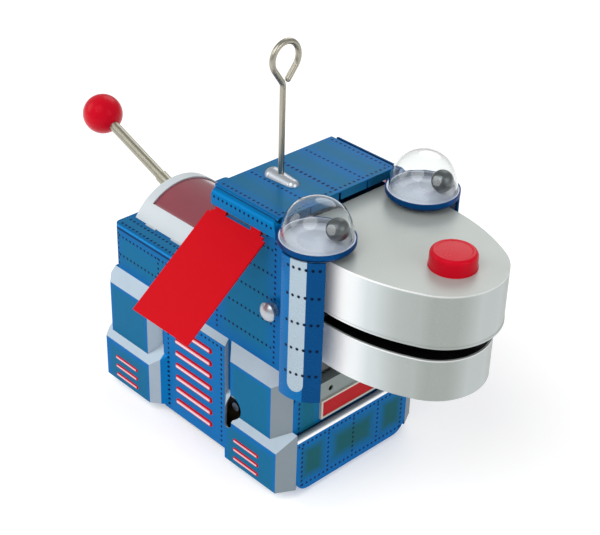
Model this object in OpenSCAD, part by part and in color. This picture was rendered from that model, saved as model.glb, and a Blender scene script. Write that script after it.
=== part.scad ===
// Wind-up tin robot dog: stamped side shells over a clockwork motor, with a
// hinged jaw, flapping ears, a wagging tail and steel balls under clear eye domes.
// Millimetres. +X is forward, +Y is the dog's left, +Z is up.
// Lengths below are counted from the rear wall, the centre plane and the foot soles;
// in_frame() then moves the origin to the bottom centre of the whole toy.

/* [Body] */
// Half width of the flat side walls
side_half = 25; // [22:0.5:28]
// Length of the lower body, rear wall to bumper face
body_len = 90; // [80:1:100]
// Height of the rear deck
deck_z = 58; // [50:0.5:66]
// Height of the head roof
roof_z = 93; // [84:0.5:100]
// Where the head block starts
head_x = 51; // [45:0.5:58]
// Sheet thickness
tin = 0.5; // [0.3:0.05:0.8]
// How far the legs stand out from the side wall
leg_out = 4; // [2:0.25:6]
// How far the feet stand out from the side wall
foot_out = 6; // [4:0.25:8]
// How far the body skirt hangs below the soles
skirt = 1.7; // [0:0.1:2.4]
// Radius of the body's upright rear corners
body_corner = 2.4; // [1:0.1:2.8]
// Radius of the head's upright rear corners
head_corner = 1.1; // [0.8:0.1:2.8]

/* [Head] */
// Eye centre, forward of the rear wall
eye_x = 92.1; // [86:0.5:98]
// Eye centre, out from the centre plane
eye_y = 22; // [18:0.5:24]
// Cheek tube radius
cheek_r = 11.2; // [9:0.1:13]
// Half width of the upper jaw
jaw_half = 24.2; // [20:0.1:24.2]
// Forward reach of the upper jaw
jaw_tip = 138.4; // [125:0.2:150]
// Upper jaw top
jaw_z = 88.3; // [84:0.1:90]
// Upper jaw depth
upper_h = 17.3; // [12:0.1:20]
// Jaw hinge pin, forward
hinge_x = 78.2; // [74:0.2:82]
// Jaw hinge pin, height
hinge_z = 62.2; // [58:0.2:66]

/* [Ears and tail] */
// Ear length from its pivot wire
ear_len = 39.2; // [30:0.2:46]
// Ear width
ear_w = 25; // [18:0.2:26]
// Ear angle away from hanging straight down
ear_lift = 52; // [10:1:70]
// Tail ball radius
ball_r = 7; // [5:0.1:9]

/* [Motor] */
// Gear module
gear_m = 0.6; // [0.4:0.05:0.8]
// Drive wheel radius
wheel_r = 8; // [7:0.1:9]
// Winding arbor, forward
wind_x = 64.2; // [60:0.1:68]
// Winding arbor, height
wind_z = 19.3; // [16:0.1:22]

/* [Hidden] */
$fn = 64;
bite = 0.01;
wheel_drop = 3.5;
seam = 1.3;
tail_ball_x = -38.0;
tail_ball_z = 76;
mid_x = (jaw_tip + 0.3 + tail_ball_x - ball_r) / 2;
shrink = sqrt(2) - 1;
yb = side_half;
y_leg = side_half + leg_out;
y_foot = side_half + foot_out;
y_mid = side_half + 1.6;
leg_top = 41.2;
foot_top = 21.7;
chest_x = body_len - 2.2;
chest_half = side_half - 0.1;
slot_z = 87;
ear_y = 25.9;
ear_x0 = 51.9;
cup_z = 90;
cup_h = 2.3;
cup_r = 11.3;
dome_r = 10.35;
dome_z = 93.75;
lower_top = 65.5;
lower_h = 13.8;
canopy_half = 17.7;
canopy_h = 9.9;
canopy_r = (canopy_half * canopy_half + canopy_h * canopy_h) / (2 * canopy_h);
canopy_c = deck_z - 0.25 + canopy_h - canopy_r;
tail_x = 12;
tail_slope = 12.4 / 33.9;
drive_x = 36;
drive_z = wheel_r - wheel_drop;
front_x = 79;
front_r = 6;
mid_gear_x = 47.1;
mid_gear_z = 13.66;
mid_teeth = 36;
pinion_teeth = 12;
great_teeth = 48;
gov_teeth = 10;
gov_angle = 80;
cam_angle = 150;
plate_y = 9;
wire_r = 0.92;
rock_x = 56;
rock_z = 46;

// ---------- helpers ----------
module in_frame() {
  translate([-mid_x, 0, wheel_drop]) children();
}

module both_sides() {
  children();
  mirror([0, 1, 0]) children();
}

// A rod along Y between two depths
module rod_y(x, z, r, y0, y1) {
  translate([x, y0, z]) rotate([-90, 0, 0]) cylinder(r = r, h = y1 - y0);
}

// A profile drawn in X and Z, given thickness along Y
module slab_y(y0, y1) {
  translate([0, y1, 0]) rotate([90, 0, 0]) linear_extrude(y1 - y0) children();
}

// A profile drawn in Y and Z, given length along X
module bar_x(x0, x1) {
  translate([x0, 0, 0]) rotate([90, 0, 90]) linear_extrude(x1 - x0) children();
}

// ---------- side shells, drawn for the right side ----------
// A raised pad with sloping walls, inset by g for its inner face.
// Its outer face runs from x0 to x1 and its front slope meets the side wall at x2.
module pad(x0, x1, x2, y_face, z_top, z_low, slope_rear, g) {
  // a small corner is cut off where a pad starts at the rear edge
  cut = y_face == y_leg ? 2 : 0.9;
  out = y_face - yb;
  s = shrink * g;
  f = g * (norm([x2 - x1, out]) - (x2 - x1)) / out;
  intersection() {
    translate([0, 0, z_low]) linear_extrude(z_top - z_low + 1)
      polygon([[slope_rear ? x0 - out + s : x0, -yb + 2],
               [slope_rear ? x0 - out + s : x0, -yb + g],
               [slope_rear ? x0 + s : x0, -y_face + (slope_rear ? g : 2)],
               [slope_rear ? x0 + s : x0 + cut + g, -y_face + g],
               [x1 - f, -y_face + g], [x2 - f, -yb + g], [x2 - f, -yb + 2]]);
    bar_x(-1, body_len + 2)
      polygon([[-yb + 2, z_low], [-yb + 2, z_top - s], [-yb + g, z_top - s],
               [-y_face + g, z_top - out - s], [-y_face + g, z_low]]);
  }
}

module pads(g) {
  low = g > 0 ? g : 0;
  pad(g, 21.5, 24.7, y_leg, leg_top, low, false, g);
  pad(g, 24.3, 31.6, y_foot, foot_top, low, false, g);
  pad(63.4, 82, chest_x, y_leg, leg_top, low, true, g);
  pad(62.9, 86.8, body_len, y_foot, foot_top, low, true, g);
}

// Plan of a wall strip with its rounded rear edge and a short rear flange
module wall_plan(x0, x1, corner, g) {
  r = corner - g;
  translate([x0 + g + r, -yb + g]) square([x1 - x0 - g - r, 3 - g]);
  translate([x0 + g, -yb + g + r]) square([x1 - x0 - g, 3 - g - r]);
  translate([x0 + g + r, -yb + g + r]) circle(r);
}

module wall_solid(g) {
  over = g > 0 ? 1 : 0;
  translate([0, 0, -skirt - over]) linear_extrude(deck_z - seam + skirt + over)
    wall_plan(0, 84 + over, body_corner, g);
  translate([0, 0, deck_z - 2]) linear_extrude(roof_z - seam - deck_z + 2 + over)
    wall_plan(head_x, 82 + over, head_corner, g);
}

module centre_pad(g) {
  s = shrink * g;
  intersection() {
    translate([27 + g, -y_mid + g, -skirt - (g > 0 ? 1 : 0)])
      cube([31 - 2 * g, 3.6, leg_top + skirt + 1]);
    bar_x(26, 60)
      polygon([[-yb + 2, -skirt - 1], [-yb + 2, leg_top - s], [-yb + g, leg_top - s],
               [-y_mid + g, leg_top - 2.3 - s], [-y_mid + g, -skirt - 1]]);
  }
}

// A long pressed hood over the ear, level with the roof's edge
module hood(g) {
  top = roof_z - 0.1 - g;
  low = g > 0 ? 87 : 88;
  out = 2.2 - g;
  r = 2.2 - g;
  end = head_x + 26.1;
  intersection() {
    slab_y(-yb - out, -yb + 2) intersection() {
      translate([head_x + 1.6 + g, low]) square([30 - 2 * g, top - low]);
      union() {
        translate([head_x + 1.6, low]) square([end - head_x - 1.6, top - low]);
        translate([head_x + 1.6, low]) square([end + 3.5 - g - head_x - 1.6, top - 3.5 + g - low]);
        translate([end, top - 3.5 + g]) circle(3.5 - g);
      }
    }
    bar_x(head_x, 82) union() {
      translate([-yb - out, 80]) square([out + 2, top - r - 80]);
      translate([-yb - out + r, 80]) square([out - r + 0.001, top - 80]);
      intersection() {
        translate([-yb - out + r, top - r]) circle(r);
        translate([-yb - out - 1, 80]) square([out + 0.97, 20]);
      }
    }
  }
}

module louvre(x0, x1, y, z, r) {
  translate([x0 + r, y, z]) rotate([0, 90, 0]) cylinder(r = r, h = x1 - x0 - 2 * r);
  for (x = [x0 + r, x1 - r]) translate([x, y, z]) sphere(r, $fn = 16);
}

module louvres() {
  for (i = [0:6]) louvre(33.4, 51.7, -y_mid + 0.3, 4.1 + 4.88 * i, 1.05);
  for (i = [0:2], x = [6.2, 67.2]) louvre(x, x + 11.7, -y_foot + 0.15, 2.5 + 3.6 * i, 0.65);
}

// The keyhole is a round hole with a narrower slot running down from it
module key_hole() {
  slab_y(-y_foot - 1, -yb + 2) union() {
    translate([wind_x, wind_z + 0.8]) circle(4.2);
    translate([wind_x - 2.2, 14.6]) square([4, 6]);
    translate([wind_x - 0.2, 14.8]) circle(2);
  }
}

module side_shell() {
  difference() {
    union() {
      difference() {
        union() {
          wall_solid(0);
          pads(0);
          centre_pad(0);
          hood(0);
        }
        wall_solid(tin);
        pads(tin);
        centre_pad(tin);
        hood(tin);
        translate([82, -yb - 1, leg_top + 1]) cube([9, 4, 60]);
        translate([-1, -yb + 2.9, -3]) cube([100, 9, 120]);
        translate([84, -yb + 0.05, -3]) cube([8, 9, 50]);
      }
      louvres();
    }
    key_hole();
    rod_y(hinge_x, hinge_z, 1.2, -yb - 1, -yb + 3);
    translate([ear_x0 + 1.85, -yb - 0.1, slot_z - 1.4]) cube([21.15, 3, 2.8]);
    translate([eye_x, -eye_y, cup_z - 0.3]) cylinder(r = cup_r + 0.5, h = 5);
  }
}

module side_shell_right() {
  color("#1f6fb0") in_frame() side_shell();
}

module side_shell_left() {
  color("#1f6fb0") in_frame() mirror([0, 1, 0]) side_shell();
}

// ---------- front, rear, deck, roof and floor ----------
module rounded_sheet(half, z0, z1, r) {
  translate([-half + r, z0]) square([2 * (half - r), z1 - z0]);
  translate([-half, z0 + r]) square([2 * half, z1 - z0 - r]);
  for (s = [-1, 1]) translate([s * (half - r), z0 + r]) circle(r);
}

// Chest panel outline, rounded at its upper corners
module chest_plan(g) {
  translate([-chest_half + g, 18.2 - bite]) square([2 * (chest_half - g), 13.1 + bite]);
  translate([-chest_half + 3, 18.2 - bite]) square([2 * (chest_half - 3), 16.1 - g + bite]);
  for (s = [-1, 1]) translate([s * (chest_half - 3), 31.3]) circle(3 - g);
}

module front_panel() {
  color("#1f6fb0") in_frame() {
    // bumper pan with its top ledge
    difference() {
      bar_x(body_len - 6, body_len) rounded_sheet(yb - 0.1, -skirt, 18.2, 5.5);
      bar_x(body_len - 7, body_len - tin) rounded_sheet(yb - 0.1 - tin, -skirt + tin, 18.2 - tin, 5);
    }
    // chest panel standing on the ledge
    difference() {
      bar_x(chest_x - 3.7, chest_x) chest_plan(0);
      bar_x(chest_x - 5, chest_x - tin) chest_plan(tin);
      for (y = [-9, 9])
        translate([chest_x - 5, y, 30.8]) rotate([0, 90, 0]) cylinder(r = 0.95, h = 8);
    }
  }
}

module bumper_moulding() {
  color("#c9cbd0") in_frame() difference() {
    rod_y(body_len - 1.15, 18.5, 1.3, -chest_half, chest_half);
    translate([body_len - 4, -chest_half - 1, 15]) cube([8, 2 * chest_half + 2, 3.2]);
    translate([chest_x - 3, -chest_half - 1, 17]) cube([3, 2 * chest_half + 2, 6]);
  }
}

module name_plate() {
  color("#c01818") in_frame() translate([chest_x, 0, 0]) difference() {
    translate([0, -13.2, 20.8]) cube([0.5, 26.4, 6.9]);
    translate([0.3, -12.5, 21.5]) cube([1, 25, 5.5]);
  }
}

// Section of a flat sheet with both long edges rolled down, inset by g
module rolled_top(half, z, r, g) {
  low = z - seam + 0.1 - (g > 0 ? 2 : 0);
  intersection() {
    translate([-half, low]) square([2 * half, z - low]);
    union() {
      translate([-half + g, low - 2]) square([2 * (half - g), z - r - low + 2]);
      translate([-half + r, low]) square([2 * (half - r), z - g - low]);
      for (s = [-1, 1]) translate([s * (half - r), z - r]) circle(r - g);
    }
  }
}

// Plan of a top sheet whose two rear corners follow the rounded rear edges
module top_plan(x0, x1, r) {
  translate([x0 + r, -yb - 1]) square([x1 - x0 - r, 2 * yb + 2]);
  translate([x0, -yb + r]) square([x1 - x0, 2 * (yb - r)]);
  for (s = [-1, 1]) translate([x0 + r, s * (yb - r)]) circle(r);
}

module rear_deck() {
  color("#1f6fb0") in_frame() intersection() {
    difference() {
      bar_x(0.1, head_x - 0.1) rolled_top(yb, deck_z, 1.2, 0);
      bar_x(0.6, head_x + 1) rolled_top(yb, deck_z, 1.2, tin);
      translate([tail_x, 0, deck_z - 3]) cylinder(r = 1.0, h = 6);
    }
    translate([0, 0, deck_z - 6]) linear_extrude(9) top_plan(0.1, 60, body_corner);
  }
}

module rear_panel() {
  color("#1f6fb0") in_frame() difference() {
    translate([0.6, -yb + 3.1, -skirt]) cube([tin, 2 * yb - 6.2, deck_z + skirt - 1]);
    for (i = [0:3]) translate([0, -9, 14 + 5 * i]) cube([3, 18, 1.6]);
  }
}

module head_roof() {
  color("#1f6fb0") in_frame() {
    intersection() {
      difference() {
        bar_x(head_x + 0.1, 78.9) rolled_top(yb, roof_z, 1.2, 0);
        bar_x(head_x + 0.6, 79.9) rolled_top(yb, roof_z, 1.2, tin);
        translate([61.4, -7.3, roof_z - 3]) cylinder(r = wire_r + 0.05, h = 6);
      }
      translate([0, 0, roof_z - 6]) linear_extrude(9) top_plan(head_x + 0.1, 90, head_corner);
    }
    // front edge folded down between two notches
    translate([78.9 - tin, -11.6, roof_z - 2.9]) cube([tin, 11.4, 2.6]);
    translate([78.9 - tin, 0.8, roof_z - 2.9]) cube([tin, 10.8, 2.6]);
    both_sides() translate([78.9 - tin, -23.4, roof_z - 2.9]) cube([tin, 11.2, 2.6]);
  }
}

module head_rear_wall() {
  color("#1f6fb0") in_frame()
    translate([head_x + 0.6, -yb + 3.1, deck_z + 0.1])
      cube([tin, 2 * yb - 6.2, roof_z - deck_z - 1]);
}

module base_plate() {
  color("#9aa0a6") in_frame() difference() {
    union() {
      translate([1.6, -yb + tin + 0.1, -skirt]) cube([81.9, 2 * yb - 2 * tin - 0.2, tin]);
      translate([drive_x - 4, -yb + tin + 0.1, -skirt]) cube([8, 1.2, 8]);
      translate([drive_x - 4, yb - tin - 1.3, -skirt]) cube([8, 1.2, 8]);
      both_sides() translate([front_x - 3, -15.2, -skirt]) cube([6, 1, 8]);
    }
    both_sides() {
      translate([drive_x - wheel_r - 1, -21.5, -4]) cube([2 * wheel_r + 2, 7, 9]);
      translate([front_x - front_r - 1, -21.6, -4]) cube([2 * front_r + 2, 5.4, 9]);
    }
    translate([drive_x - 5, -7, -4]) cube([10, 6, 5]);
    rod_y(drive_x, drive_z, 1.26, -yb, yb);
    rod_y(front_x, front_r - wheel_drop, 1.06, -20, 20);
  }
}

// ---------- canopy on the rear deck ----------
module canopy_ring(r0, r1) {
  translate([0, canopy_c]) difference() {
    circle(r1, $fn = 128);
    circle(r0, $fn = 128);
  }
}

module canopy() {
  color("#e9edf0") in_frame() difference() {
    union() {
      intersection() {
        bar_x(2.3, head_x - 0.1) canopy_ring(canopy_r - tin, canopy_r);
        translate([0, -40, deck_z]) cube([60, 80, 40]);
      }
      // rear end wall
      intersection() {
        bar_x(2.3, 2.3 + tin) translate([0, canopy_c]) circle(canopy_r - tin / 2, $fn = 128);
        translate([0, -40, deck_z]) cube([60, 80, 40]);
      }
      // fixing tabs along both lower edges
      both_sides() for (x = [8.5, 21.5, 34.5])
        translate([x, -canopy_half - 0.6, deck_z]) cube([5, 1, 0.3]);
    }
    // window opening
    intersection() {
      translate([5.9, -13, deck_z + 2]) cube([60, 26, 20]);
      bar_x(5.9, head_x + 1) canopy_ring(canopy_r - 3, canopy_r + 3);
    }
    // slot the tail swings in
    translate([2, -5.6, deck_z - 1]) cube([2, 11.2, 7.2]);
  }
}

module canopy_window() {
  color("#7d2a34", 0.75) in_frame() intersection() {
    bar_x(4.9, head_x - 0.2) canopy_ring(canopy_r - 1.2, canopy_r - 0.6);
    translate([0, -14, deck_z + 2]) cube([60, 28, 20]);
  }
}

// ---------- cheeks and eyes, drawn for the right side ----------
// Plan of a cheek: a tube arc closed at the rear by a slanting wall
module cheek_plan(g) {
  intersection() {
    circle(cheek_r - g, $fn = 96);
    rotate(42.1) translate([-9.3 + g, -30]) square([60, 60]);
  }
}

module cheek() {
  translate([eye_x, -eye_y, 0]) intersection() {
    difference() {
      translate([0, 0, 42.4]) linear_extrude(cup_z - 42.5) cheek_plan(0);
      translate([0, 0, 42]) linear_extrude(60) cheek_plan(tin);
      // the lower edge rises toward the rear
      translate([-20, -20, 42]) rotate([0, 14, 0]) translate([0, 0, -8]) cube([22, 40, 10.4]);
    }
    translate([0, 0, 40]) linear_extrude(60)
      polygon([[-9.9, -3.05], [-20, -3.05], [-20, -20], [20, -20], [20, -12], [0, 0]]);
  }
}

module cheek_right() {
  color("#1f6fb0") in_frame() cheek();
}

module cheek_left() {
  color("#1f6fb0") in_frame() mirror([0, 1, 0]) cheek();
}

module eye_cup() {
  translate([eye_x, -eye_y, cup_z]) difference() {
    union() {
      cylinder(r1 = cup_r - 0.7, r2 = cup_r, h = 0.9, $fn = 96);
      translate([0, 0, 0.9]) cylinder(r = cup_r, h = cup_h - 0.9, $fn = 96);
    }
    translate([0, 0, tin]) cylinder(r = cup_r - 0.35, h = 5, $fn = 96);
  }
}

module eye_cup_right() {
  color("#1c66a6") in_frame() eye_cup();
}

module eye_cup_left() {
  color("#1c66a6") in_frame() mirror([0, 1, 0]) eye_cup();
}

// White tray whose shallow cone keeps the steel ball out at the dome's wall
module eye_tray() {
  translate([eye_x, -eye_y, 0]) difference() {
    translate([0, 0, cup_z + tin]) cylinder(r = cup_r - 0.4, h = cup_h - tin - 0.1, $fn = 96);
    difference() {
      translate([0, 0, cup_z + 0.9]) cylinder(r = dome_r + 0.1, h = 4, $fn = 96);
      translate([0, 0, cup_z + 0.5]) cylinder(r1 = 8.4, r2 = 0.4, h = 1.2, $fn = 96);
    }
  }
}

module eye_tray_right() {
  color("#dfe2ee") in_frame() eye_tray();
}

module eye_tray_left() {
  color("#dfe2ee") in_frame() mirror([0, 1, 0]) eye_tray();
}

module eye_dome() {
  translate([eye_x, -eye_y, dome_z]) difference() {
    union() {
      sphere(dome_r, $fn = 96);
      translate([0, 0, -2.9]) cylinder(r = dome_r, h = 2.9, $fn = 96);
    }
    sphere(dome_r - 0.4, $fn = 96);
    translate([0, 0, -4]) cylinder(r = dome_r - 0.4, h = 4, $fn = 96);
    translate([-20, -20, cup_z + 0.95 - dome_z - 20]) cube([40, 40, 20]);
  }
}

module eye_dome_right() {
  color("#dfe9ee", 0.3) in_frame() eye_dome();
}

module eye_dome_left() {
  color("#dfe9ee", 0.3) in_frame() mirror([0, 1, 0]) eye_dome();
}

module eye_ball_right() {
  color("#565a60") in_frame() translate([eye_x + 4, -eye_y + 4, cup_z + 4.57]) sphere(3.4, $fn = 64);
}

module eye_ball_left() {
  color("#565a60") in_frame() translate([eye_x + 4, eye_y + 4, cup_z + 4.57]) sphere(3.4, $fn = 64);
}

// ---------- jaws ----------
// Plan of a jaw: two long side arcs running into a nose that stands a hair proud of them
module jaw_plan(half, tip, nose_r, x0, g) {
  xs = 99.6;
  dx = tip - nose_r - xs;
  big = (dx * dx + half * half - nose_r * nose_r) / (2 * (half - nose_r));
  xt = xs + dx + (nose_r - g) * dx / (big - nose_r);
  intersection() {
    translate([xs, big - half]) circle(big - g, $fn = 256);
    translate([xs, -big + half]) circle(big - g, $fn = 256);
    translate([xs, -40]) square([xt - xs, 80]);
  }
  translate([tip - nose_r, 0]) circle(nose_r + 0.05 - g, $fn = 256);
  translate([x0 + g, -half + g]) square([xs - x0 - g, 2 * (half - g)]);
}

module upper_jaw() {
  color("#c2c6c4") in_frame() {
    z0 = jaw_z - upper_h;
    difference() {
      translate([0, 0, z0]) linear_extrude(upper_h) jaw_plan(jaw_half, jaw_tip, 19, 86.5, 0);
      translate([0, 0, z0 - 1]) linear_extrude(upper_h + 1 - 0.6)
        jaw_plan(jaw_half, jaw_tip, 19, 86.5, 0.6);
    }
    // roof tongue that runs back under the head roof
    translate([78.6, -23.6, jaw_z - 0.6]) cube([8.4, 47.2, 0.6]);
    // small rolled lip round the mouth
    difference() {
      translate([0, 0, z0]) linear_extrude(0.7) jaw_plan(jaw_half, jaw_tip, 19, 99.6, -0.12);
      translate([0, 0, z0 - 1]) linear_extrude(3) jaw_plan(jaw_half, jaw_tip, 19, 80, 0.3);
      translate([80, -40, z0 - 1]) cube([19.8, 80, 3]);
    }
  }
}

module palate() {
  color("#101114") in_frame() translate([0, 0, jaw_z - upper_h + 0.5]) linear_extrude(0.6)
    jaw_plan(jaw_half, jaw_tip, 19, 87, 0.65);
}

module nose() {
  color("#d01820") in_frame() translate([123.5, 0, jaw_z]) {
    cylinder(r = 7.1, h = 0.4);
    cylinder(r1 = 6.95, r2 = 6.85, h = 3.9);
    translate([0, 0, 3.8]) rotate_extrude() translate([5.6, 0]) circle(1.22, $fn = 32);
    intersection() {
      cylinder(r = 5.7, h = 8);
      translate([0, 0, -75]) sphere(80.06, $fn = 256);
    }
  }
}

module mouth_plate() {
  color("#17181b") in_frame() difference() {
    translate([84.9, -yb + tin + 0.5, 36]) cube([tin, 2 * yb - 2 * tin - 1, 51.2]);
    both_sides() translate([84, -14.2, 50]) cube([3, 4.4, 19]);
  }
}

module jaw_pin() {
  color("#d5d8da") in_frame() {
    rod_y(hinge_x, hinge_z, 1.2, -yb - 2.6, yb + 2.6);
    both_sides() {
      intersection() {
        translate([hinge_x, -yb - 0.3, hinge_z]) sphere(3.9);
        rod_y(hinge_x, hinge_z, 3.1, -yb - 6, -yb - 2.2);
      }
      rod_y(hinge_x, hinge_z, 2.2, -yb - 0.9, -yb - 0.05);
    }
  }
}

module lower_jaw() {
  color("#c2c6c4") in_frame() {
    z0 = lower_top - lower_h;
    difference() {
      translate([0, 0, z0]) linear_extrude(lower_h) jaw_plan(22.3, 135.8, 17.5, 91, 0);
      translate([0, 0, z0 + 0.6]) linear_extrude(lower_h) jaw_plan(22.3, 135.8, 17.5, 91, 0.6);
    }
  }
}

module tongue() {
  color("#101114") in_frame() translate([0, 0, lower_top - 1]) linear_extrude(0.6)
    jaw_plan(22.3, 135.8, 17.5, 91, 0.65);
}

module jaw_arms() {
  color("#9aa0a6") in_frame() both_sides() difference() {
    slab_y(-12.6, -11.6) union() {
      translate([hinge_x, hinge_z]) circle(3);
      translate([hinge_x, hinge_z - 3]) square([12.8, 6]);
      translate([hinge_x - 8, hinge_z - 1.5]) square([8, 3]);
    }
    rod_y(hinge_x, hinge_z, 1.26, -20, 0);
  }
}

// ---------- ears, drawn for the right side ----------
module ear_wires() {
  color("#b9bcc0") in_frame() both_sides() {
    translate([ear_x0 + 0.7, -ear_y, slot_z]) rotate([0, 90, 0]) cylinder(r = 0.55, h = 23.5);
    for (x = [ear_x0 + 1.2, ear_x0 + 23.7]) rod_y(x, slot_z, 0.5, -ear_y, -yb);
  }
}

module ear() {
  translate([ear_x0, -ear_y, slot_z]) rotate([-ear_lift, 0, 0]) difference() {
    union() {
      // flap, hanging down from the wire before it is lifted
      translate([0, -0.25, -ear_len]) cube([ear_w, tin, ear_len - 2.3]);
      translate([1.2, -0.25, -3]) cube([ear_w - 2.4, tin, 1.6]);
      // two tabs rolled round the wire
      for (t = [[2.1, 4.9], [17.9, 4.2]]) {
        translate([t[0], -0.25, -2]) cube([t[1], tin, 1.6]);
        translate([t[0], 0, 0]) rotate([0, 90, 0]) cylinder(r = 0.95, h = t[1]);
      }
    }
    translate([-1, 0, 0]) rotate([0, 90, 0]) cylinder(r = 0.6, h = 40);
  }
}

module ear_right() {
  color("#c81622") in_frame() ear();
}

module ear_left() {
  color("#c81622") in_frame() mirror([0, 1, 0]) ear();
}

// ---------- antenna ----------
module antenna_foot() {
  // a low boss, narrower towards the front
  r = 3.0;
  r_front = 2.3;
  sink = 0.75;
  color("#d5d8da") in_frame() translate([62, -7.3, roof_z]) difference() {
    intersection() {
      translate([-10, -10, 0]) cube(20);
      translate([0, 0, -sink]) {
        translate([-3.7, 0, 0]) rotate([0, 90, 0]) cylinder(r1 = r, r2 = r_front, h = 8);
        translate([-3.7, 0, 0]) sphere(r + 0.02);
        translate([4.3, 0, 0]) sphere(r_front + 0.02);
      }
    }
    translate([-0.6, 0, -1]) cylinder(r = wire_r + 0.05, h = 6);
  }
}

// Part of a ring of wire in the Y-Z plane; it stops a hair short at both ends
module loop_arc(r, a0, a1) {
  gap = 3 / r;
  rotate([90, 0, 90]) rotate([0, 0, a0 + gap]) rotate_extrude(angle = a1 - a0 - 2 * gap)
    translate([r, 0]) circle(wire_r, $fn = 24);
}

// Straight run of wire between two points given as distances in Y and Z
module wire_run(y0, z0, y1, z1) {
  translate([0, y0, z0]) rotate([-atan2(y1 - y0, z1 - z0), 0, 0]) translate([0, 0, 0.05])
    cylinder(r = wire_r, h = norm([y1 - y0, z1 - z0]) - 0.1, $fn = 24);
}

module antenna_wire() {
  lean = 35;
  tuck = 39.5;
  bend = 3;
  loop = 5.1;
  cy = 0.8;
  cz = roof_z + 38.3;
  y1 = -bend + bend * cos(lean);
  y2 = cy - loop * cos(lean);
  z2 = cz - loop * sin(lean);
  z1 = z2 - (y1 - y2) / tan(lean);
  neck = z1 - bend * sin(lean);
  y3 = cy + loop * cos(tuck);
  z3 = cz - loop * sin(tuck);
  y4 = y3 - 4.4 * sin(tuck);
  z4 = z3 - 4.4 * cos(tuck);
  color("#a9aaa4") in_frame() translate([61.4, -7.3, 0]) {
    wire_run(0, roof_z - 1.5, 0, neck);
    translate([0, -bend, neck]) loop_arc(bend, 0, lean);
    wire_run(y1, z1, y2, z2);
    translate([0, cy, cz]) loop_arc(loop, -tuck, 180 + lean);
    wire_run(y3, z3, y4, z4);
    for (p = [[0, neck], [y1, z1], [y2, z2], [y3, z3], [y4, z4]])
      translate([0, p[0], p[1]]) sphere(wire_r + 0.03, $fn = 24);
  }
}

// ---------- tail ----------
module tail_pin() {
  color("#b9bcc0") in_frame() {
    translate([tail_x, 0, deck_z - 1.6]) cylinder(r = 1.0, h = 6.6);
    translate([tail_x, 0, deck_z + 4.6]) cylinder(r = 1.9, h = 0.6);
    translate([tail_x, 0, deck_z - 1.6]) cylinder(r = 2.2, h = 0.9);
  }
}

module tail_boss() {
  color("#9aa0a6") in_frame() difference() {
    translate([tail_x, 0, deck_z + 0.3]) cylinder(r = 2.8, h = 4);
    translate([tail_x, 0, deck_z - 2]) cylinder(r = 1.06, h = 9);
  }
}

module tail_line(s0, s1, r) {
  translate([tail_ball_x, 0, tail_ball_z]) rotate([0, 90 + atan(tail_slope), 0])
    translate([0, 0, s0]) cylinder(r = r, h = s1 - s0);
}

module tail_rod() {
  color("#a29f94") in_frame() difference() {
    union() {
      tail_line(ball_r - 2, 50.4, 1.8);
      tail_line(34.2, 50, 2.15);
    }
    translate([tail_x, 0, deck_z - 2]) cylinder(r = 2.85, h = 12);
    translate([0, -5, deck_z - 3]) cube([30, 10, 3.3]);
  }
}

module tail_ball() {
  color("#c81622") in_frame() difference() {
    translate([tail_ball_x, 0, tail_ball_z]) sphere(ball_r, $fn = 96);
    tail_line(ball_r - 2.1, 20, 1.85);
  }
}

// ---------- clockwork ----------
module gear_plan(teeth, turn) {
  r = gear_m * teeth / 2;
  step = 360 / teeth;
  rotate(turn) {
    circle(r - 0.72, $fn = 2 * teeth);
    for (i = [0:teeth - 1]) rotate(i * step)
      polygon([[r - 1.1, -0.52], [r - 0.3, -0.40], [r + 0.42, -0.17],
               [r + 0.42, 0.17], [r - 0.3, 0.40], [r - 1.1, 0.52]]);
  }
}

// A gear lying in the X-Z plane; turn counts anticlockwise seen from -Y
module gear_y(x, z, teeth, turn, bore, y0, y1) {
  translate([x, 0, z]) slab_y(y0, y1) difference() {
    gear_plan(teeth, turn);
    circle(bore);
  }
}

module plate_outline() {
  difference() {
    union() {
      translate([30, 4]) square([47, 38]);
      for (x = [29.6, 66]) translate([x, -skirt + tin]) square([4, 8]);
      translate([48, 40]) square([14, 11]);
      translate([drive_x, drive_z]) circle(4);
    }
    translate([56, 30]) circle(3.6);
    translate([40, 33]) circle(3.6);
  }
}

module motor_plate(y0) {
  difference() {
    slab_y(y0, y0 + 0.8) plate_outline();
    rod_y(wind_x, wind_z, 1.16, y0 - 1, y0 + 2);
    rod_y(drive_x, drive_z, 1.26, y0 - 1, y0 + 2);
    rod_y(mid_gear_x, mid_gear_z, 0.86, y0 - 1, y0 + 2);
    translate([mid_gear_x, 0, mid_gear_z]) {
      rotate([0, -gov_angle, 0]) rod_y((mid_teeth + gov_teeth) * gear_m / 2, 0, 0.66, y0 - 1, y0 + 2);
      rotate([0, -cam_angle, 0]) rod_y((mid_teeth + pinion_teeth) * gear_m / 2, 0, 1.06, y0 - 1, y0 + 2);
    }
    rod_y(rock_x, rock_z, 1.0, y0 - 1, y0 + 2);
    rod_y(70, 34, 1.0, y0 - 1, y0 + 2);
  }
}

module motor_plate_right() {
  color("#b7a262") in_frame() motor_plate(-plate_y);
}

module motor_plate_left() {
  color("#b7a262") in_frame() motor_plate(plate_y - 0.8);
}

module motor_pillars() {
  color("#a9adb2") in_frame() {
    for (p = [[32.6, 39], [74.4, 39], [75.2, 6]]) rod_y(p[0], p[1], 1.6, -plate_y + 0.8, plate_y - 0.8);
    rod_y(rock_x, rock_z, 1.0, -plate_y - 3.4, plate_y);
    rod_y(70, 34, 1.0, -plate_y - 3.4, -plate_y + 0.8);
  }
}

// Half turns of growing radius make the coil
module half_turn(r, side) {
  intersection() {
    difference() {
      circle(r + 0.15);
      circle(r - 0.15);
    }
    translate([-20, side > 0 ? 0 : -20]) square([40, 20]);
  }
}

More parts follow.
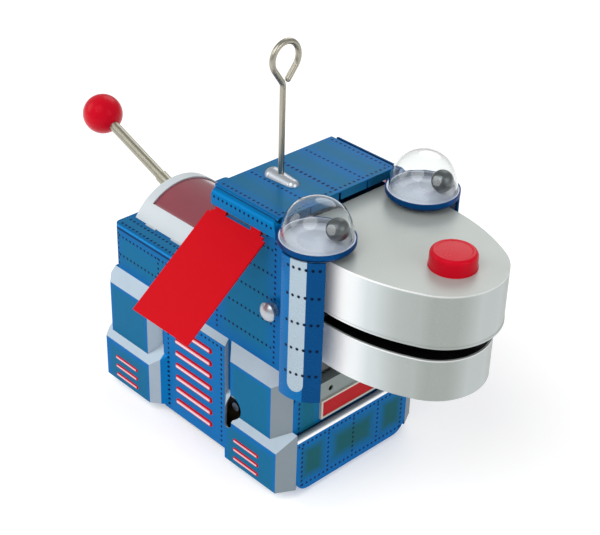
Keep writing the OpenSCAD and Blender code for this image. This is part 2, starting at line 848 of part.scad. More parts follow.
module mainspring() {
  color("#5b6068") in_frame() translate([wind_x, 0, wind_z]) slab_y(3.8, 7.6) {
    for (i = [0:9]) {
      half_turn(3.4 + 1.7 * i / 2, 1);
      translate([-0.425, 0]) half_turn(3.4 + 1.7 * i / 2 + 0.425, -1);
    }
  }
}

module winding_arbor() {
  color("#d5d8da") in_frame() {
    rod_y(wind_x, wind_z, 1.5, -27.6, -20.4);
    rod_y(wind_x, wind_z, 1.1, -20.5, plate_y + 0.6);
    rod_y(wind_x, wind_z, 2.6, 4, 7.4);
  }
}

module ratchet_wheel() {
  color("#b7a262") in_frame() translate([wind_x, 0, wind_z]) slab_y(-11.6, -10.4) difference() {
    union() {
      circle(5.2);
      for (i = [0:11]) rotate(30 * i) polygon([[5, -1.2], [6.4, 0.9], [5, 1.4]]);
    }
    circle(1.1);
  }
}

module click() {
  color("#a9adb2") in_frame() difference() {
    translate([70, 0, 34]) slab_y(-11.6, -10.4) union() {
      circle(2.2);
      rotate(-112) polygon([[0, -1.2], [8.2, -0.4], [8.2, 0.4], [0, 1.6]]);
    }
    rod_y(70, 34, 1.06, -14, -8);
  }
}

module great_wheel() {
  color("#b7a262") in_frame() gear_y(wind_x, wind_z, great_teeth, 0, 1.16, 2, 3.2);
}

// The pinions are turned half a tooth where that brings them into mesh
module mid_arbor() {
  color("#a9adb2") in_frame() {
    rod_y(mid_gear_x, mid_gear_z, 0.8, -plate_y - 0.4, plate_y + 0.4);
    gear_y(mid_gear_x, mid_gear_z, pinion_teeth, mid_turn, 0.7, 1.4, 3.8);
  }
}

mid_dir_great = atan2(wind_z - mid_gear_z, wind_x - mid_gear_x);
mid_dir_drive = atan2(drive_z - mid_gear_z, drive_x - mid_gear_x);
great_step = 360 / great_teeth;
// phase of the great wheel's tooth seen along the line of centres
great_phase = (mid_dir_great + 180) / great_step - floor((mid_dir_great + 180) / great_step);
mid_turn = mid_dir_great + (great_phase + 0.5) * 360 / pinion_teeth;

module mid_wheel() {
  color("#b7a262") in_frame() gear_y(mid_gear_x, mid_gear_z, mid_teeth, 0, 0.8, -5.2, -4);
}

module at_cam() {
  translate([mid_gear_x + 14.4 * cos(cam_angle), 0, mid_gear_z + 14.4 * sin(cam_angle)]) children();
}

cam_phase = (cam_angle - mid_turn) / 30 - floor((cam_angle - mid_turn) / 30);

module cam_wheel() {
  color("#b7a262") in_frame() at_cam() {
    gear_y(0, 0, mid_teeth, cam_angle + 180 + (cam_phase + 0.5) * 10, 1.0, 2, 3.2);
    rod_y(0, 0, 1.0, -plate_y - 3, plate_y + 0.4);
  }
}

module cam() {
  color("#a9adb2") in_frame() at_cam() translate([0, 0, 0]) difference() {
    translate([1.6, 0, 0]) rod_y(0, 0, 4.6, -plate_y - 2.8, -plate_y - 1.4);
    rod_y(0, 0, 1.0, -20, 0);
  }
}

module governor() {
  color("#b7a262") in_frame() translate([mid_gear_x + 13.8 * cos(gov_angle), 0, mid_gear_z + 13.8 * sin(gov_angle)]) {
    rod_y(0, 0, 0.6, -plate_y - 0.4, plate_y + 0.4);
    gear_y(0, 0, gov_teeth, gov_turn, 0.5, -5.6, -3.6);
    translate([-3, 4.4, -0.4]) cube([6, 3, 0.8]);
  }
}

gov_phase = gov_angle / 10 - floor(gov_angle / 10);
gov_turn = gov_angle + 180 + (gov_phase + 0.5) * 36;

module drive_axle() {
  color("#a9adb2") in_frame() {
    rod_y(drive_x, drive_z, 1.2, -yb + 1.4, yb - 1.4);
    gear_y(drive_x, drive_z, pinion_teeth, drive_turn, 1.1, -5.8, -3.4);
  }
}

drive_phase = mid_dir_drive / 10 - floor(mid_dir_drive / 10);
drive_turn = mid_dir_drive + 180 + (drive_phase + 0.5) * 30;

module tread_wheel(x, z, r, y, w, bore) {
  difference() {
    union() {
      rod_y(x, z, r - 0.5, y - w / 2, y + w / 2);
      rod_y(x, z, r, y - w / 2 + 0.5, y + w / 2 - 0.5);
    }
    rod_y(x, z, r - 2, y - w / 2 - 1, y - w / 2 + 0.8);
    rod_y(x, z, bore, y - w, y + w);
  }
  difference() {
    rod_y(x, z, bore + 1.4, y - w / 2, y + w / 2);
    rod_y(x, z, bore, y - w, y + w);
  }
}

module drive_wheels() {
  color("#2a2b2e") in_frame() both_sides() tread_wheel(drive_x, drive_z, wheel_r, -18, 5, 1.2);
}

module front_axle() {
  color("#a9adb2") in_frame() rod_y(front_x, front_r - wheel_drop, 1.0, -21, 21);
}

module front_wheels() {
  color("#2a2b2e") in_frame() both_sides()
    tread_wheel(front_x, front_r - wheel_drop, front_r, -18.9, 4, 1.0);
}

// Lever worked by the cam: it opens the jaw, flaps the ears and wags the tail
module rocker() {
  color("#a9adb2") in_frame() difference() {
    slab_y(-plate_y - 2.4, -plate_y - 1.2) translate([rock_x, rock_z]) {
      circle(2.6);
      for (arm = [[229.6, 25.6], [80, 30], [47, 19]])
        rotate(arm[0]) translate([0, -1]) square([arm[1], 2]);
    }
    rod_y(rock_x, rock_z, 1.06, -14, -8);
  }
}

side_shell_right();
side_shell_left();
front_panel();
bumper_moulding();
name_plate();
rear_deck();
rear_panel();
head_roof();
head_rear_wall();
base_plate();
canopy();
canopy_window();
cheek_right();
cheek_left();
eye_cup_right();
eye_cup_left();
eye_tray_right();
eye_tray_left();
eye_dome_right();
eye_dome_left();
mouth_plate();
upper_jaw();
palate();
nose();
jaw_pin();
ear_wires();
antenna_foot();
antenna_wire();
motor_plate_right();
motor_plate_left();
motor_pillars();
mainspring();
tail_pin();
lower_jaw();
tongue();
jaw_arms();
ear_right();
ear_left();
tail_boss();
tail_rod();
tail_ball();
winding_arbor();
ratchet_wheel();
click();
great_wheel();
mid_arbor();
mid_wheel();
cam_wheel();
cam();
governor();
drive_axle();
drive_wheels();
front_axle();
front_wheels();
rocker();
eye_ball_right();
eye_ball_left();
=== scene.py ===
import math
import bpy
from mathutils import Matrix, Vector

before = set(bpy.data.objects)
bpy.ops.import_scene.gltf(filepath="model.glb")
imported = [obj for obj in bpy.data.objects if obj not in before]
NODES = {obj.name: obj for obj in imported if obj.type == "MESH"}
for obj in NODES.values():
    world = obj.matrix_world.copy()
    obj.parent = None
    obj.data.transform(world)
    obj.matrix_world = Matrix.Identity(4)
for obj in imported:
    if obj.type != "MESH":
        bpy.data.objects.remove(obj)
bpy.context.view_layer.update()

# Lengths in the materials are millimetres from the rear wall, the centre plane and the soles.
# The frame's origin is MID_X forward of the rear wall and WHEEL_DROP below the soles.
MID_X = 46.85
WHEEL_DROP = 3.5
# the toy's main places, as in the CAD
SIDE_Y = 25.0       # flat side wall
MID_Y = 26.6        # outer face of the centre pad
LEG_Y = 29.0        # outer face of a leg
FOOT_Y = 31.0       # outer face of a foot
HEAD_X = 51.0       # where the head block starts
DECK_Z = 58.0       # top of the rear deck
HOOD_Z = 88.0       # lower edge of the hood over the ear
ROOF_Z = 93.0       # top of the head
LEDGE_Z = 18.2      # top of the bumper
EYE_X = 92.1        # centre of a cheek tube
EYE_Y = 22.0
CHEEK_R = 11.5      # radius at which the cheek's print is laid out
UPPER_JAW_Z = 88.3  # top of the upper jaw
LOWER_JAW_Z = 65.5  # top of the lower jaw
# spacing and radius of the printed rivet dots
DOT_STEP = 1.9
CHEST_STEP = 1.85
DOT_R = 0.44
# spacing of the louvres on the centre pad and on the feet
LOUVRE_STEP = 4.88
FOOT_LOUVRE_STEP = 3.6


# ---------------------------------------------------------------- colours
def rgb(text):
    out = []
    for i in (1, 3, 5):
        c = int(text[i:i + 2], 16) / 255
        out.append(c / 12.92 if c <= 0.04045 else ((c + 0.055) / 1.055) ** 2.4)
    return (*out, 1.0)


# ---------------------------------------------------------------- node expressions
class Value:
    """A number in a material's node tree, with ordinary arithmetic."""

    def __init__(self, sheet, socket):
        self.sheet = sheet
        self.socket = socket

    def _op(self, op, *args, clamp=False):
        n = self.sheet.tree.nodes.new("ShaderNodeMath")
        n.operation = op
        n.use_clamp = clamp
        for i, a in enumerate((self, *args)):
            a = a.socket if isinstance(a, Value) else a
            if isinstance(a, (int, float)):
                n.inputs[i].default_value = a
            else:
                self.sheet.tree.links.new(a, n.inputs[i])
        return Value(self.sheet, n.outputs[0])

    def __add__(self, o): return self._op("ADD", o)
    __radd__ = __add__
    def __sub__(self, o): return self._op("SUBTRACT", o)
    def __rsub__(self, o): return Value(self.sheet, o)._op("SUBTRACT", self)
    def __mul__(self, o): return self._op("MULTIPLY", o)
    __rmul__ = __mul__
    def __truediv__(self, o): return self._op("DIVIDE", o)
    def abs(self): return self._op("ABSOLUTE")
    def sqrt(self): return self._op("SQRT")
    def low(self, o): return self._op("MINIMUM", o)
    def high(self, o): return self._op("MAXIMUM", o)
    def under(self, o): return self._op("LESS_THAN", o)
    def clamp(self): return self._op("ADD", 0.0, clamp=True)
    def near(self, step): return self._op("PINGPONG", step / 2)
    def atan2(self, o): return self._op("ARCTAN2", o)


class Sheet:
    """One material: object coordinates in millimetres, masks, and a Principled shader."""

    def __init__(self, name):
        self.mat = bpy.data.materials.new(name)
        self.mat.use_nodes = True
        self.tree = self.mat.node_tree
        self.bsdf = self.tree.nodes["Principled BSDF"]
        self.coords = self.tree.nodes.new("ShaderNodeTexCoord")
        sep = self.tree.nodes.new("ShaderNodeSeparateXYZ")
        self.tree.links.new(self.coords.outputs["Object"], sep.inputs[0])
        self.x = Value(self, sep.outputs[0]) * 1000.0 + MID_X
        self.y = Value(self, sep.outputs[1]) * 1000.0
        self.z = Value(self, sep.outputs[2]) * 1000.0 - WHEEL_DROP
        self.ya = self.y.abs()
        nor = self.tree.nodes.new("ShaderNodeSeparateXYZ")
        self.tree.links.new(self.coords.outputs["Normal"], nor.inputs[0])
        self.nx, self.ny, self.nz = (Value(self, nor.outputs[i]) for i in range(3))
        self.colour = None

    # a mask is a signed distance in millimetres, positive inside, then a soft edge
    def inside(self, u, v, u0, u1, v0, v1):
        return (u - u0).low(u1 - u).low((v - v0).low(v1 - v))

    def fill(self, d, soft=0.12):
        return (d / soft + 0.5).clamp()

    def patch(self, u, v, u0, u1, v0, v1, soft=0.12):
        return self.fill(self.inside(u, v, u0, u1, v0, v1), soft)

    def row(self, u, v, u0, u1, v0, step=DOT_STEP, r=DOT_R):
        """A row of printed dots along u at height v0."""
        k = (u - u0).near(step)
        d = (k * k + (v - v0) * (v - v0)).sqrt()
        return self.fill(r - d, 0.25) * self.fill((u - (u0 - r)).low((u1 + r) - u))

    def union(self, masks):
        out = masks[0]
        for m in masks[1:]:
            out = out.high(m)
        return out

    def tex(self, scale, detail=3.0, stretch=(1, 1, 1)):
        """Noise from 0 to 1; scale counts its features in a metre."""
        m = self.tree.nodes.new("ShaderNodeMapping")
        m.inputs["Scale"].default_value = stretch
        self.tree.links.new(self.coords.outputs["Object"], m.inputs[0])
        n = self.tree.nodes.new("ShaderNodeTexNoise")
        n.inputs["Scale"].default_value = scale
        n.inputs["Detail"].default_value = detail
        n.inputs["Roughness"].default_value = 0.55
        self.tree.links.new(m.outputs[0], n.inputs["Vector"])
        return Value(self, n.outputs["Fac"])

    # the colour is a stack: a base, then layers painted through masks
    def base(self, colour):
        self.colour = rgb(colour)

    def paint(self, mask, colour):
        n = self.tree.nodes.new("ShaderNodeMix")
        n.data_type = "RGBA"
        # a colour mix takes its colours at inputs 6 and 7 and gives its result at output 2
        a, b = n.inputs[6], n.inputs[7]
        if isinstance(self.colour, tuple):
            a.default_value = self.colour
        else:
            self.tree.links.new(self.colour, a)
        b.default_value = rgb(colour)
        self.tree.links.new(mask.socket, n.inputs[0])
        self.colour = n.outputs[2]

    def tint(self, amount, scale, dark="#000000", stretch=(1, 1, 1)):
        """Blotchy darkening by up to amount."""
        self.paint(((self.tex(scale, stretch=stretch) - 0.5) * 2.0 * amount).clamp(), dark)

    def bump(self, height, distance, strength):
        n = self.tree.nodes.new("ShaderNodeBump")
        n.inputs["Distance"].default_value = distance
        n.inputs["Strength"].default_value = strength
        self.tree.links.new(height.socket, n.inputs["Height"])
        self.tree.links.new(n.outputs[0], self.bsdf.inputs["Normal"])

    def finish(self, rough=0.35, metal=0.0, grain=0.06, coat=0.0, coat_rough=0.1, ior=1.5,
               spec=0.5, ink=False):
        """Sets the shader; grain is how far the roughness wanders, and ink tints the shine."""
        b = self.bsdf.inputs
        for key in ("Base Color", "Specular Tint") if ink else ("Base Color",):
            if isinstance(self.colour, tuple):
                b[key].default_value = self.colour
            else:
                self.tree.links.new(self.colour, b[key])
        r = (self.tex(90.0) - 0.5) * (grain * 2.0) + (self.tex(1600.0, 2.0) - 0.5) * grain + rough
        self.tree.links.new(r.clamp().socket, b["Roughness"])
        b["Metallic"].default_value = metal
        b["Coat Weight"].default_value = coat
        b["Coat Roughness"].default_value = coat_rough
        b["IOR"].default_value = ior
        b["Specular IOR Level"].default_value = spec
        return self.mat


# ---------------------------------------------------------------- inks
BLUE = "#0468aa"
BRIGHT = "#056cb0"
TEAL = "#0e6c95"
DOT = "#02173c"
GREY = "#a5b4c0"
RED = "#c81020"
# painted shade for the seams and valleys between sheets
SEAM_SHADE = "#04284c"


def tin_surface(s):
    """Printed tin: faint ink mottling, rubbed specks and a slightly uneven varnish."""
    s.tint(0.10, 240.0, "#0a1c30")
    s.paint((s.tex(620.0, 4.0) - 0.74).high(0.0) * 0.8, "#9fc4da")
    s.bump(s.tex(420.0, 2.0), 0.00003, 0.4)


def ink_gradient(s, u, v, panels, colour, depth):
    """Airbrushed centres: the ink turns greener away from each panel's border."""
    for (u0, u1, v0, v1, w) in panels:
        s.paint((s.inside(u, v, u0, u1, v0, v1) / w).clamp() * depth, colour)


def pills(s, u, v, u0, u1, v0, step, r, soft=0.2):
    """Bars with round ends, stacked at an even step."""
    du = (u0 - u).high(u - u1).high(0.0)
    dv = (v - v0 + 20 * step).near(step)
    return s.fill(r - (du * du + dv * dv).sqrt(), soft)


# ---------------------------------------------------------------- litho materials
def litho(s, rough=0.34, metal=0.30, coat=0.02, coat_rough=0.12, spec=0.08):
    """Every printed sheet ends alike: mottled ink, then a thin varnish over the tin."""
    tin_surface(s)
    return s.finish(rough=rough, metal=metal, coat=coat, coat_rough=coat_rough, spec=spec,
                    ink=True)


def raised_pads(s):
    """The legs and feet: bright blue faces with greener centres, and grey sloping walls."""
    x, z, ya = s.x, s.z, s.ya
    leg = s.fill(ya - (LEG_Y - 0.4)) * s.fill(LEG_Y + 1.4 - ya)
    foot = s.fill(ya - (FOOT_Y - 0.4)) * s.fill(FOOT_Y + 0.2 - ya)
    # each pad's face: the two ranges along x, then the lowest and highest point
    faces = ((leg, ((1.6, 21.6), (63.4, 82.0)), 12, 37.2),
             (foot, ((1.6, 24.4), (63, 86.8)), -5, 15))
    for mask, spans, low, high in faces:
        s.paint(mask, BRIGHT)
        centres = [(s.inside(x, z, a, b, low, high) / 2.2).clamp() for a, b in spans]
        s.paint(mask * s.union(centres), TEAL)
    slope = (s.ny.abs().under(0.86) * s.fill(ya - (SIDE_Y + 0.05), 0.1) * s.fill(60 - z)
             * s.fill(s.nx + 0.8, 0.1))
    s.paint(slope, GREY)
    # painted shade: the slopes that face forward are darker
    s.paint(slope * s.fill(s.nx - 0.4, 0.2) * s.fill(x - 60), "#838e95")


def side_rivets(s, mid, hood):
    """Printed rivet rows of a side wall, its centre pad and its hood."""
    x, z, ya = s.x, s.z, s.ya
    rows = [s.row(x, z, 3.0, 49.5, h) for h in (54.2, 46.8)]
    rows += [s.row(z, x, 46.8, 54.2, w) for w in (23.3, 46.4)]
    rows += [s.row(z, x, 43.4, 86.5, 52.4), s.row(z, x, 43.0, 89.0, 78.6)]
    rows += [s.row(z, x, 43.4, 55.0, 2.2)]
    rows += [s.row(x, z, 54.4, 77.0, h) for h in (47.8, 56.5, 65.0, 73.5, 82.0)]
    s.paint(s.union(rows) * s.fill(SIDE_Y + 0.12 - ya, 0.1), DOT)
    pad = [s.row(z, x, 0.6, 37.0, w) for w in (29.6, 56.3)]
    pad += [s.row(x, z, 29.6, 56.3, 37.4)]
    s.paint(s.union(pad) * mid, DOT)
    s.paint(s.row(x, z, 54.0, 79.0, 90.8, r=0.42) * hood, DOT)


def louvre_paint(s):
    """Louvres are red with a pale streak along the crown."""
    x, z, ya = s.x, s.z, s.ya
    big = s.fill(ya - (MID_Y - 0.3)) * s.patch(x, z, 32, 54, 2.2, 36.0)
    s.paint(big * pills(s, x, z, 34.4, 50.7, 4.1, LOUVRE_STEP, 1.14), RED)
    s.paint(big * pills(s, x, z, 34.4, 50.7, 4.25, LOUVRE_STEP, 0.36, 0.5), "#f3dfe6")
    small = s.fill(ya - (FOOT_Y - 0.3)) * s.patch(x, z, 0, 90, 0.9, 11.4)
    for x0 in (6.85, 67.85):
        x1 = x0 + 10.4
        s.paint(small * pills(s, x, z, x0, x1, 2.5, FOOT_LOUVRE_STEP, 0.74), RED)
        s.paint(small * pills(s, x, z, x0, x1, 2.6, FOOT_LOUVRE_STEP, 0.22, 0.35), "#f0d4dc")


def side_material():
    s = Sheet("litho_side")
    x, z, ya = s.x, s.z, s.ya
    s.base(BLUE)
    ink_gradient(s, x, z, [(0.5, 50, 41, 57, 5), (53, 79, 42, 86, 5)], TEAL, 0.95)
    raised_pads(s)
    mid = s.patch(x, z, 27.3, 57.8, -5, 38.6) * s.fill(ya - (MID_Y - 0.4))
    s.paint(mid, "#0a70b2")
    # the long pressed hood over the ear slot
    hood = s.fill(z - (HOOD_Z - 0.1)) * s.fill(ya - (SIDE_Y + 0.1))
    s.paint(hood, "#0672b0")
    # painted shade in the seam under the deck's rolled edge and in the valley along the roof
    s.paint(s.fill(z - (DECK_Z - 1.7)) * s.fill(60 - z) * s.fill(HEAD_X - 0.2 - x) * 0.8, SEAM_SHADE)
    s.paint(s.fill(z - (ROOF_Z - 1.0)) * s.fill(SIDE_Y + 0.5 - ya, 0.3) * 0.7, SEAM_SHADE)
    side_rivets(s, mid, hood)
    louvre_paint(s)
    return litho(s)


def front_material():
    s = Sheet("litho_front")
    y, z, ya = s.y, s.z, s.ya
    s.base(BLUE)
    # bumper: three panels with greener centres, framed in rivets
    low = s.fill(LEDGE_Z + 0.2 - z)
    for y0, y1, w in ((-24, -11.4, 4), (-11.4, 11.4, 5), (11.4, 24, 4)):
        s.paint(low * (s.inside(y, z, y0, y1, 1.0, 16.4) / w).clamp(), "#185a62")
    dots = [s.row(ya, z, 0.0, 24.0, 16.6, CHEST_STEP), s.row(ya, z, 0.0, 22.4, 0.6, CHEST_STEP)]
    dots += [s.row(z, ya, 0.6, 16.6, w, CHEST_STEP) for w in (22.6, 11.2, 0.0)]
    s.paint(s.union(dots) * low, DOT)
    # chest above the ledge
    high = s.fill(z - 19.0) * s.fill(88.6 - s.x)
    s.paint(high * (s.inside(ya, z, 12.6, 24.4, 16, 34) / 4.0).clamp(), "#12637c")
    s.paint(s.row(z, ya, 20.0, 33.4, 22.4, CHEST_STEP) * high, DOT)
    s.paint(s.patch(ya, z, -1, 13.7, 21.0, 40) * high, "#8c9593")
    s.paint(s.patch(z, ya, 19.0, 19.9, -1, 28) * high, "#083048")
    return litho(s)


def top_material():
    s = Sheet("litho_top")
    x, z, ya = s.x, s.z, s.ya
    s.base("#0f6aa6")
    roof = s.fill(z - 80)
    deck = s.fill(60 - z)
    for (a, b) in ((-1.0, 11.3), (11.3, 22.8)):
        s.paint((s.inside(ya, x, a, b, 48, 82) / 5.0).clamp() * roof * 0.85, "#236a8a")
    s.paint((s.inside(ya, x, 17.6, 25, -1, 51) / 3.0).clamp() * deck * 0.8, "#2278a4")
    # painted highlight on the rolled edges, and painted shade in the seam under the deck's
    edge = s.fill(ya - (SIDE_Y - 1.0))
    s.paint(s.fill(0.75 - s.nz, 0.3) * edge * 0.6, "#1c86cc")
    s.paint(s.fill(DECK_Z - 0.85 - z) * edge * 0.8, SEAM_SHADE)
    dots = [s.row(x, ya, 53.0, 77.2, w) * roof for w in (0.2, 11.4, 22.6)]
    dots += [s.row(ya, x, 0.2, 22.6, 77.2) * roof]
    dots += [s.row(x, ya, 2.6, 49.4, w) * deck for w in (19.8, 23.2)]
    s.paint(s.union(dots) * s.fill(s.nz - 0.7, 0.2), DOT)
    return litho(s, coat=0.04, spec=0.15)


def cheek_material():
    s = Sheet("litho_cheek")
    x, z, ya = s.x, s.z, s.ya
    s.base("#126baa")
    # degrees round the tube, and arcs on it in millimetres
    ang = (EYE_Y - ya).atan2(x - EYE_X) * math.degrees(1.0) + 360.0
    arc_mm = CHEEK_R * math.radians(1.0)
    s.paint(s.fill(ang - 300.5, 1.0), "#05457a")
    # grey stripe with a round lower end
    arc = (ang - 288.5) * arc_mm
    drop = (z - 48.2).low(0.0)
    tip = (arc * arc + drop * drop).sqrt()
    s.paint(s.fill(2.7 - tip, 0.15), "#a9bac6")
    # rings of dots, ten degrees apart
    k = (ang - 271.0 + 360.0).near(10.0) * arc_mm
    dots = []
    for h in (87.5, 78.4, 69.5, 60.65, 51.8):
        d = (k * k + (z - h) * (z - h)).sqrt()
        dots.append(s.fill(0.5 - d, 0.25))
    s.paint(s.union(dots) * s.fill((ang - 266.0).low(326.0 - ang), 1.0), "#04142c")
    return litho(s, rough=0.28, metal=0.25, coat=0.05, coat_rough=0.1, spec=0.15)


def cup_material():
    s = Sheet("litho_cup")
    s.base("#064278")
    return litho(s, rough=0.28, metal=0.40, coat=0.03, coat_rough=0.1, spec=0.10)


def back_material():
    s = Sheet("litho_back")
    y, z, ya = s.y, s.z, s.ya
    s.base(BLUE)
    for z0, z1 in ((2, 54), (59, 91)):
        s.paint((s.inside(y, z, -22, 22, z0, z1) / 8.0).clamp() * 0.8, TEAL)
    dots = [s.row(z, ya, z0, z1, 20.2) for z0, z1 in ((2.0, 54.0), (60.0, 90.0))]
    dots += [s.row(ya, z, 0.0, 20.2, h) for h in (54.0, 2.0, 90.0)]
    s.paint(s.union(dots), DOT)
    return litho(s)


def red_tin():
    s = Sheet("litho_red")
    s.base("#c80d1a")
    s.tint(0.14, 60.0, "#8c0a12")
    s.tint(0.05, 900.0, "#d8404a")
    s.bump(s.tex(420.0, 2.0), 0.00004, 0.5)
    return s.finish(rough=0.42, metal=0.1, coat=0.02, coat_rough=0.2, spec=0.1, ink=True)


def red_plate():
    s = Sheet("litho_plate")
    s.base("#c4beb4")
    s.paint(s.patch(s.y, s.z, -12.5, 12.5, 21.5, 27.0), "#b0121a")
    s.tint(0.12, 200.0, "#4d0a0a")
    s.bump(s.tex(420.0, 2.0), 0.00004, 0.5)
    return s.finish(rough=0.38, coat=0.03, coat_rough=0.15, spec=0.15, ink=True)


# ---------------------------------------------------------------- bare metal and plastic
def satin_silver(name="satin_silver", top="#b2b8b4", side="#b0b7b6", light="#e2eaed",
                 dark="#969d98", metal=0.25):
    """Brushed tin with painted light: painted highlights on the walls towards the rear, painted
    shade where they turn forward.
    """
    s = Sheet(name)
    s.base(top)
    # painted light: the walls get a colour of their own, apart from the top, for how light falls
    # on them
    wall = s.fill(0.6 - s.nz, 0.3)
    s.paint(wall, side)
    # painted highlight on the walls, brightest towards the rear
    s.paint(wall * ((122.0 - s.x) / 14.0).clamp() * 0.8, light)
    s.paint(wall * ((113.0 - s.x) / 9.0).clamp(), "#ffffff")
    # painted shade where the walls turn forward
    turn = s.nx * 0.72 + s.ny.abs() * 0.69 + (s.tex(40.0, 2.0) - 0.5) * 0.05
    s.paint(wall * ((turn - 0.86) * 8.0).clamp(), dark)
    # painted highlight along the rolled rims, less so towards the tip
    upper_rim = (s.z - (UPPER_JAW_Z - 0.55)).low(UPPER_JAW_Z + 1.7 - s.z)
    lower_rim = (s.z - (LOWER_JAW_Z - 0.4)).low(LOWER_JAW_Z + 1.0 - s.z)
    rim = s.fill(upper_rim.high(lower_rim), 0.35)
    s.paint(wall * rim * ((152.0 - s.x) / 45.0).clamp(), "#ffffff")
    s.tint(0.10, 35.0, "#a3aaa3")
    s.paint((s.tex(2600.0, 2.0) - 0.58).high(0.0) * 0.6, "#e6eae8")
    s.bump(s.tex(1500.0, 2.0), 0.00002, 0.6)
    return s.finish(rough=0.40, metal=metal, grain=0.05, coat=0.03, coat_rough=0.3)


def black_tin():
    s = Sheet("black_tin")
    s.base("#0d0d10")
    s.tint(0.5, 160.0, "#1d1d22")
    s.bump(s.tex(300.0, 2.0), 0.00003, 0.5)
    return s.finish(rough=0.16, grain=0.05, coat=0.3)


def bright_plate():
    s = Sheet("bright_plate")
    s.base("#b9bfc6")
    s.tint(0.15, 350.0, "#8d9096")
    s.bump(s.tex(700.0, 3.0), 0.00003, 0.5)
    return s.finish(rough=0.34, metal=0.75, grain=0.05)


def wire_steel(name="wire_steel", colour="#a9a597", stretch=(1, 1, 0.05)):
    s = Sheet(name)
    s.base(colour)
    s.tint(0.35, 900.0, "#6d6a5f", stretch)
    s.bump(s.tex(2500.0, 3.0, stretch=stretch), 0.00002, 0.6)
    return s.finish(rough=0.34, metal=1.0, grain=0.10)


def brass():
    s = Sheet("clock_brass")
    s.base("#c2a25c")
    s.tint(0.35, 260.0, "#7d6230")
    s.bump(s.tex(1800.0, 2.0, stretch=(1, 0.1, 1)), 0.00002, 0.6)
    return s.finish(rough=0.34, metal=1.0, grain=0.12)


def spring_steel():
    s = Sheet("spring_steel")
    s.base("#4a525e")
    s.tint(0.4, 300.0, "#222a38")
    s.bump(s.tex(1600.0, 2.0, stretch=(1, 0.1, 1)), 0.00002, 0.5)
    return s.finish(rough=0.30, metal=1.0, grain=0.1)


def plain_tin():
    s = Sheet("plain_tin")
    s.base("#a2a6aa")
    s.tint(0.3, 180.0, "#6d7175")
    s.paint((s.tex(700.0, 5.0) - 0.66).high(0.0) * 2.0, "#5b4c3c")
    s.bump(s.tex(600.0, 3.0), 0.00003, 0.6)
    return s.finish(rough=0.36, metal=0.9, grain=0.12)


def moulded(name, colour, dark, rough=0.30, coat=0.2, ink=False):
    s = Sheet(name)
    s.base(colour)
    s.tint(0.14, 60.0, dark)
    s.tint(0.06, 1200.0, dark)
    s.bump(s.tex(260.0, 2.0), 0.00005, 0.35)
    return s.finish(rough=rough, grain=0.05, coat=coat, coat_rough=0.12, ink=ink,
                    spec=0.25 if ink else 0.5)


def window():
    s = Sheet("window_maroon")
    s.base("#a04a56")
    s.tint(0.45, 18.0, "#5a2028")
    s.bump(s.tex(200.0, 2.0), 0.00004, 0.4)
    s.bsdf.inputs["Transmission Weight"].default_value = 0.25
    return s.finish(rough=0.16, grain=0.05, coat=0.4, coat_rough=0.05)


def clear_dome():
    s = Sheet("clear_dome")
    s.base("#fbfdfc")
    s.tint(0.04, 120.0, "#dfe8e4")
    s.bump(s.tex(220.0, 2.0), 0.00002, 0.2)
    s.bsdf.inputs["Transmission Weight"].default_value = 1.0
    return s.finish(rough=0.03, grain=0.02, ior=1.42)


def eye_steel():
    s = Sheet("eye_steel")
    s.base("#656b6e")
    s.tint(0.35, 500.0, "#44494c")
    s.bump(s.tex(900.0, 2.0), 0.00002, 0.5)
    return s.finish(rough=0.34, metal=1.0, grain=0.1)


def wheel_rubber():
    s = Sheet("wheel_rubber")
    s.base("#1a1a1c")
    s.tint(0.4, 300.0, "#303033")
    s.bump(s.tex(900.0, 4.0), 0.00008, 0.8)
    return s.finish(rough=0.65, grain=0.1)


STEEL = "#8c98a0"
MATS = {
    "side": side_material(),
    "front": front_material(),
    "top": top_material(),
    "cheek": cheek_material(),
    "cup": cup_material(),
    "back": back_material(),
    "ear": red_tin(),
    "plate": red_plate(),
    "silver": satin_silver(),
    # the moulding takes the same painted highlights and painted shade as the jaws
    "moulding": satin_silver("moulding_steel", STEEL, STEEL, STEEL, "#66727a", 0.7),
    "black": black_tin(),
    "bright": bright_plate(),
    "wire": wire_steel(),
    "rod": wire_steel("rod_steel", "#a6a394", (0.05, 1, 1)),
    "axle": wire_steel("axle_steel", "#a8aaac", (1, 0.05, 1)),
    "brass": brass(),
    "spring": spring_steel(),
    "tin": plain_tin(),
    "canopy": moulded("canopy_white", "#cdd6da", "#b0bcc2", 0.34, 0.05),
    "window": window(),
    "tray": moulded("eye_white", "#d6dff2", "#b2b6c8", 0.28),
    "dome": clear_dome(),
    "red_plastic": moulded("red_plastic", "#c80e24", "#8c0a18", 0.26, 0.05, True),
    "ball": eye_steel(),
    "rubber": wheel_rubber(),
}
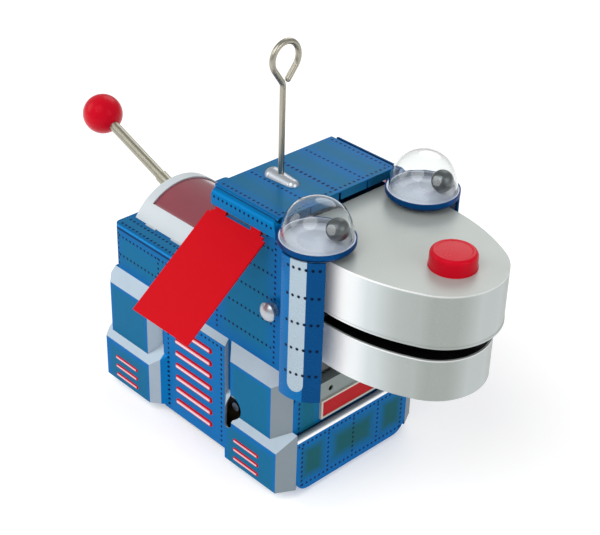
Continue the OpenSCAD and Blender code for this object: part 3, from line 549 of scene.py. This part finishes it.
LOOK = {
    "side": ["side_shell_right", "side_shell_left"],
    "front": ["front_panel"],
    "top": ["rear_deck", "head_roof"],
    "back": ["rear_panel", "head_rear_wall"],
    "cheek": ["cheek_right", "cheek_left"],
    "cup": ["eye_cup_right", "eye_cup_left"],
    "ear": ["ear_right", "ear_left"],
    "plate": ["name_plate"],
    "silver": ["upper_jaw", "lower_jaw"],
    "moulding": ["bumper_moulding"],
    "black": ["mouth_plate", "palate", "tongue"],
    "bright": ["jaw_pin", "antenna_foot"],
    "wire": ["antenna_wire", "tail_pin"],
    "rod": ["tail_rod"],
    "axle": ["drive_axle", "front_axle", "mid_arbor", "motor_pillars"],
    "brass": ["motor_plate_right", "motor_plate_left", "ratchet_wheel", "great_wheel",
              "mid_wheel", "cam_wheel", "governor"],
    "spring": ["mainspring", "click", "winding_arbor", "ear_wires"],
    "tin": ["base_plate", "jaw_arms", "tail_boss", "cam", "rocker"],
    "canopy": ["canopy"],
    "window": ["canopy_window"],
    "tray": ["eye_tray_right", "eye_tray_left"],
    "dome": ["eye_dome_right", "eye_dome_left"],
    "red_plastic": ["nose", "tail_ball"],
    "ball": ["eye_ball_right", "eye_ball_left"],
    "rubber": ["drive_wheels", "front_wheels"],
}
for look, names in LOOK.items():
    for name in names:
        data = NODES[name].data
        data.materials.clear()
        data.materials.append(MATS[look])


def soften(name, width, segments=2, angle=40):
    """Rounds the pressed edges of a CAD node, with a modifier; width is in metres."""
    m = NODES[name].modifiers.new("edge", "BEVEL")
    m.width = width
    m.segments = segments
    m.limit_method = "ANGLE"
    m.angle_limit = math.radians(angle)
    m.harden_normals = False


soften("upper_jaw", 0.0006, 3)
soften("lower_jaw", 0.0003)
soften("canopy", 0.0001)


# ---------------------------------------------------------------- stage, light, camera
def floor(reach=3.0):
    """A white floor that glows a little, so that it stays as white as the background."""
    mesh = bpy.data.meshes.new("floor")
    corners = [(-reach, -reach, 0), (reach, -reach, 0), (reach, reach, 0), (-reach, reach, 0)]
    mesh.from_pydata(corners, [], [(0, 1, 2, 3)])
    o = bpy.data.objects.new("floor", mesh)
    bpy.context.scene.collection.objects.link(o)
    m = bpy.data.materials.new("floor")
    m.use_nodes = True
    b = m.node_tree.nodes["Principled BSDF"].inputs
    b["Base Color"].default_value = (0.86, 0.86, 0.86, 1)
    b["Roughness"].default_value = 0.9
    b["Specular IOR Level"].default_value = 0.1
    b["Emission Color"].default_value = (1, 1, 1, 1)
    b["Emission Strength"].default_value = 0.32
    mesh.materials.append(m)


def area(name, where, aim, size, power):
    """A round white area light; places and sizes in metres, power in watts."""
    d = bpy.data.lights.new(name, "AREA")
    d.shape = "DISK"
    d.size = size
    d.energy = power
    o = bpy.data.objects.new(name, d)
    o.location = where
    o.rotation_euler = (Vector(aim) - Vector(where)).to_track_quat("-Z", "Y").to_euler()
    bpy.context.scene.collection.objects.link(o)


def camera():
    """Looks down at the toy's right front corner, with a slight roll."""
    d = bpy.data.cameras.new("camera")
    d.sensor_width = 36.0
    d.lens = 82.94
    d.shift_x = 0.0021
    d.shift_y = 0.0007
    o = bpy.data.objects.new("camera", d)
    bpy.context.scene.collection.objects.link(o)
    az, el, roll = math.radians(45.53), math.radians(31.68), math.radians(1.8)
    ahead = Vector((-math.sin(az) * math.cos(el), math.cos(az) * math.cos(el), -math.sin(el)))
    right = Vector((math.cos(az), math.sin(az), 0.0))
    up = right.cross(ahead)
    cx = right * math.cos(roll) + up * math.sin(roll)
    cy = up * math.cos(roll) - right * math.sin(roll)
    m = Matrix((cx, cy, -ahead)).transposed().to_4x4()
    m.translation = Vector((0.27952, -0.25877, 0.29062))
    o.matrix_world = m
    bpy.context.scene.camera = o


floor()
area("key", (0.10, -0.55, 0.75), (0.0, 0.0, 0.05), 0.70, 3.4)
area("front", (0.75, 0.05, 0.45), (0.02, 0.0, 0.06), 0.45, 1.6)
area("fill", (-0.55, -0.45, 0.40), (0.0, 0.0, 0.05), 0.50, 1.4)
area("back", (-0.30, 0.60, 0.60), (0.0, 0.0, 0.05), 0.60, 1.4)
world = bpy.data.worlds.new("world")
world.use_nodes = True
world.node_tree.nodes["Background"].inputs[0].default_value = (1, 1, 1, 1)
world.node_tree.nodes["Background"].inputs[1].default_value = 0.45
bpy.context.scene.world = world
bpy.context.scene.view_settings.view_transform = "Standard"
camera()

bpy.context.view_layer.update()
